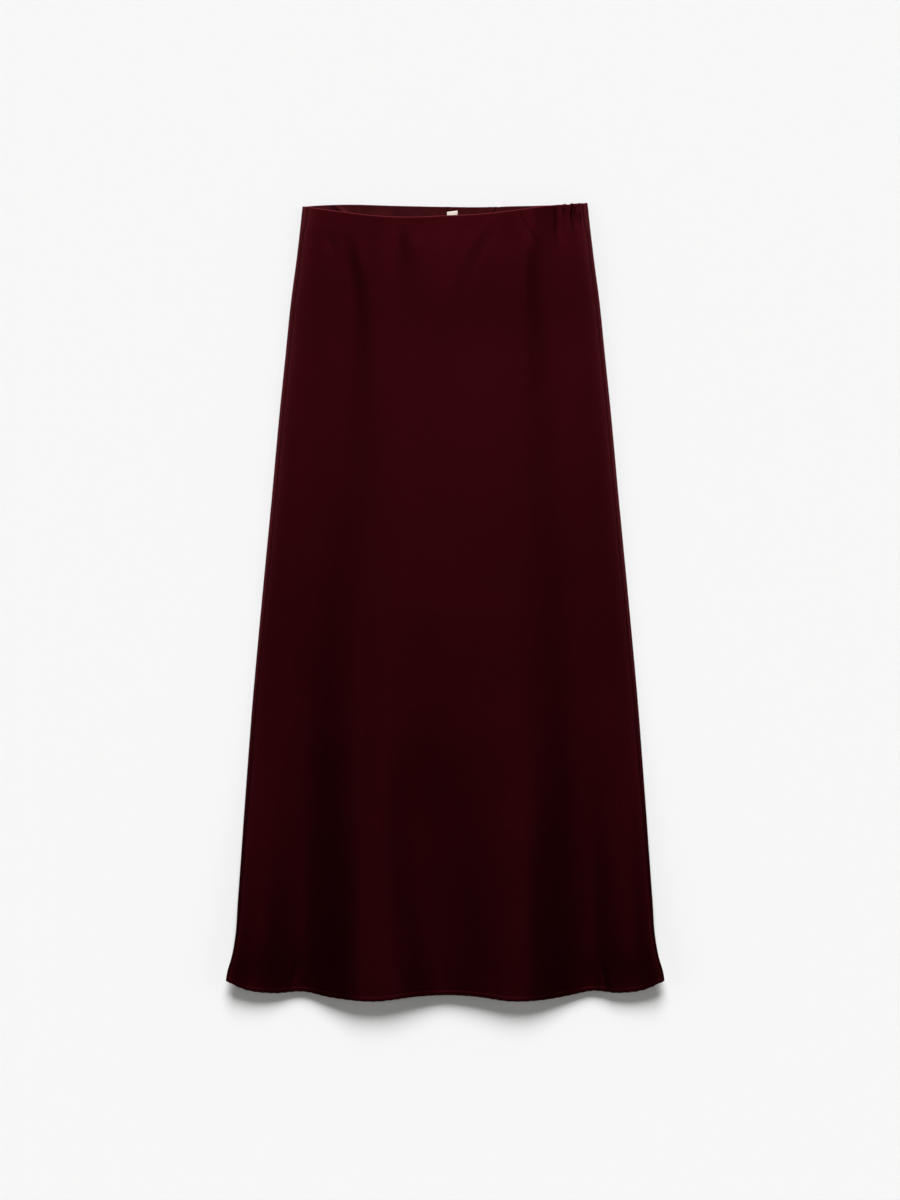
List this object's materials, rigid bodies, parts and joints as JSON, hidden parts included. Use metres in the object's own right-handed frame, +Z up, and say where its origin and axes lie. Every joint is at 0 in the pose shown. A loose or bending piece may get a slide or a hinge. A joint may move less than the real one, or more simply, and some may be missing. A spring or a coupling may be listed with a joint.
{
  "type": "a-line midi skirt",
  "caption": "Flared A-line midi skirt in wine-red crepe-back satin, laid flat with its front up, open at the waist and hem.",
  "frame": {"origin": "middle of the skirt's width and length, on the surface that it lies on", "axes": "+X across the skirt, to the right in the picture; +Y along it, from the hem to the waist; +Z up off the surface, out of its front"},
  "size_m": [0.4934, 0.9014, 0.0191],
  "materials": {
    "skirt_satin": "wine-red crepe-back satin with a soft sheen",
    "facing_cloth": "matt crepe side of the same cloth",
    "label_cloth": "cream woven ribbon, bare"
  },
  "bodies": {
    "root": {"front_panel": "skirt_satin", "back_panel_left": "skirt_satin", "back_panel_right": "skirt_satin", "back_facing_left": "facing_cloth", "back_facing_right": "facing_cloth", "waist_label": "label_cloth"}
  },
  "joints": []
}
